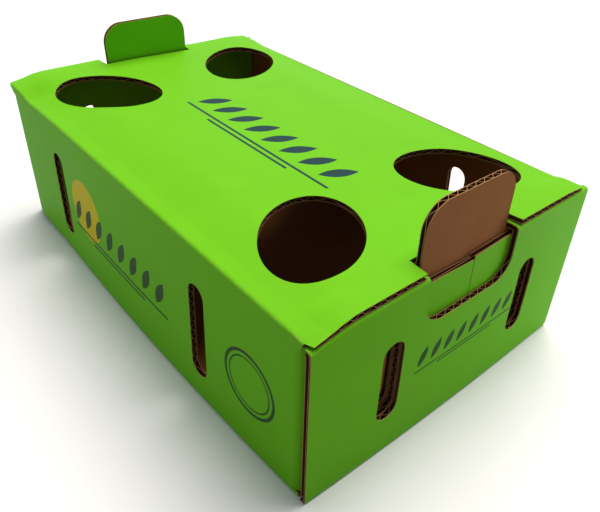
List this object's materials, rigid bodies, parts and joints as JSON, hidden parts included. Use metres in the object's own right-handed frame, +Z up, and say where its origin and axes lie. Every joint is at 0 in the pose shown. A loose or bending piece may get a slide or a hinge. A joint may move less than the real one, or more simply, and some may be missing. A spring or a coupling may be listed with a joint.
{
  "type": "cardboard tray box",
  "caption": "Folded corrugated produce carton: a tray with rolled ends, hand holes, upright carrying tabs and vent slots, and a hinged lid with oval holes that tucks in.",
  "frame": {"origin": "centre of the underside of the bottom panel", "axes": "+X along the long side, +Y from the lid's hinge to its tuck flap, +Z up"},
  "size_m": [0.404, 0.248, 0.1669],
  "materials": {
    "tray_board": "matte",
    "lid_board": "matte"
  },
  "bodies": {
    "tray": {"tray": "tray_board"},
    "lid": {"lid": "lid_board"}
  },
  "joints": [
    {"name": "lid_hinge", "type": "hinge", "parent": "tray", "child": "lid", "pos_m": [0, -0.122, 0.1293], "axis": [1, 0, 0], "range_deg": [0, 175]}
  ]
}
